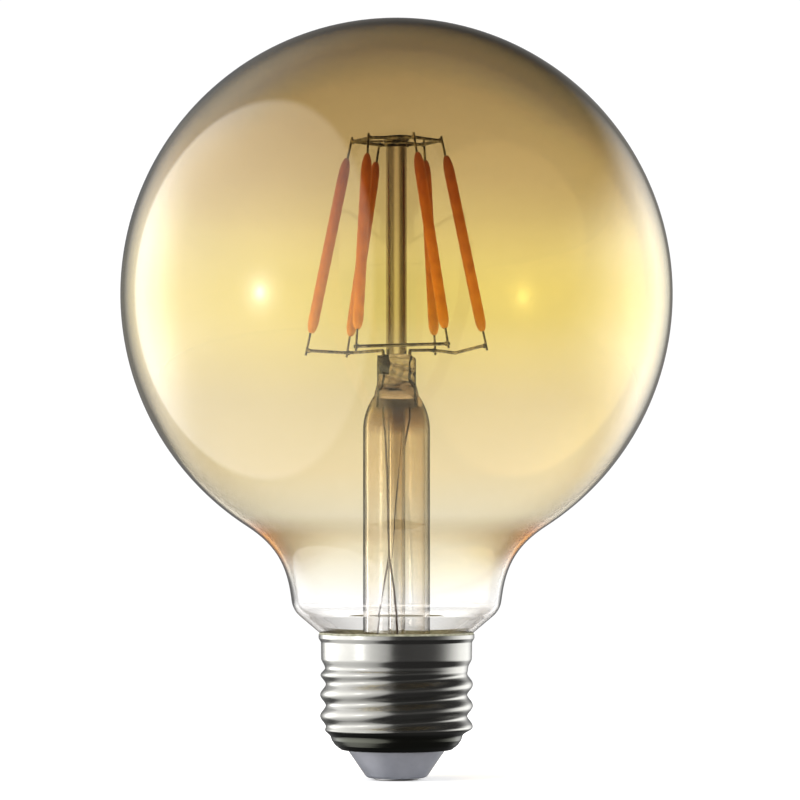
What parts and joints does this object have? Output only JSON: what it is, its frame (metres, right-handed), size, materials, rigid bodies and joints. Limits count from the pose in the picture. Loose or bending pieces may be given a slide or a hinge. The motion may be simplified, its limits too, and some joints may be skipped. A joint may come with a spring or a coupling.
{
  "type": "globe bulb",
  "caption": "Globe filament bulb: amber-coated clear glass globe on a screw cap, with slanted filaments held by a wire cage on a glass stem.",
  "frame": {"origin": "middle of the centre contact's lower face, on the cap's axis, at the bottom of the part", "axes": "+Z along the cap's axis towards the crown of the globe; -Y faces the camera of the picture"},
  "size_m": [0.095, 0.095, 0.1309],
  "materials": {
    "coated_glass": "thin amber coating on clear blown glass, fading to clear at the neck",
    "clear_glass": "clear drawn glass",
    "phosphor": "orange phosphor resin",
    "cage_metal": "dull drawn nickel-plated wire",
    "seal_metal": "dark oxidised seal metal",
    "lead_copper": "thin dull copper lead",
    "shell_metal": "bright nickel-plated rolled sheet",
    "cement": "matt olive-grey cap cement",
    "insulator": "pale grey moulded insulator",
    "contact_metal": "plain nickel-plated contact",
    "board": "green coated laminate",
    "chip": "black moulded chip case",
    "can": "plain can",
    "resistor": "green lacquered body",
    "hookup": "white sleeved wire"
  },
  "bodies": {
    "root": {"glass_envelope": "coated_glass", "stem_tube": "clear_glass", "exhaust_tube": "clear_glass", "support_rod": "clear_glass", "upper_ring": "cage_metal", "left_arm_wire": "cage_metal", "right_arm_wire": "cage_metal", "bridge_wire": "cage_metal", "hub_collar": "cage_metal", "hub_spoke_1": "cage_metal", "hub_spoke_2": "cage_metal", "hub_spoke_3": "cage_metal", "seal_plate": "seal_metal", "seal_wire_left": "seal_metal", "seal_wire_right": "seal_metal", "supply_lead_left": "lead_copper", "supply_lead_right": "lead_copper", "screw_shell": "shell_metal", "cement_ring": "cement", "insulator": "insulator", "centre_contact": "contact_metal", "driver_board": "board", "bridge_rectifier": "chip", "driver_chip": "chip", "smoothing_capacitor": "can", "fuse_resistor": "resistor", "contact_wire": "hookup", "shell_wire": "hookup", "filament_1": "phosphor", "filament_1_upper_pin": "cage_metal", "filament_1_lower_pin": "cage_metal", "filament_2": "phosphor", "filament_2_upper_pin": "cage_metal", "filament_2_lower_pin": "cage_metal", "filament_3": "phosphor", "filament_3_upper_pin": "cage_metal", "filament_3_lower_pin": "cage_metal", "filament_4": "phosphor", "filament_4_upper_pin": "cage_metal", "filament_4_lower_pin": "cage_metal", "filament_5": "phosphor", "filament_5_upper_pin": "cage_metal", "filament_5_lower_pin": "cage_metal", "filament_6": "phosphor", "filament_6_upper_pin": "cage_metal", "filament_6_lower_pin": "cage_metal"}
  },
  "joints": []
}
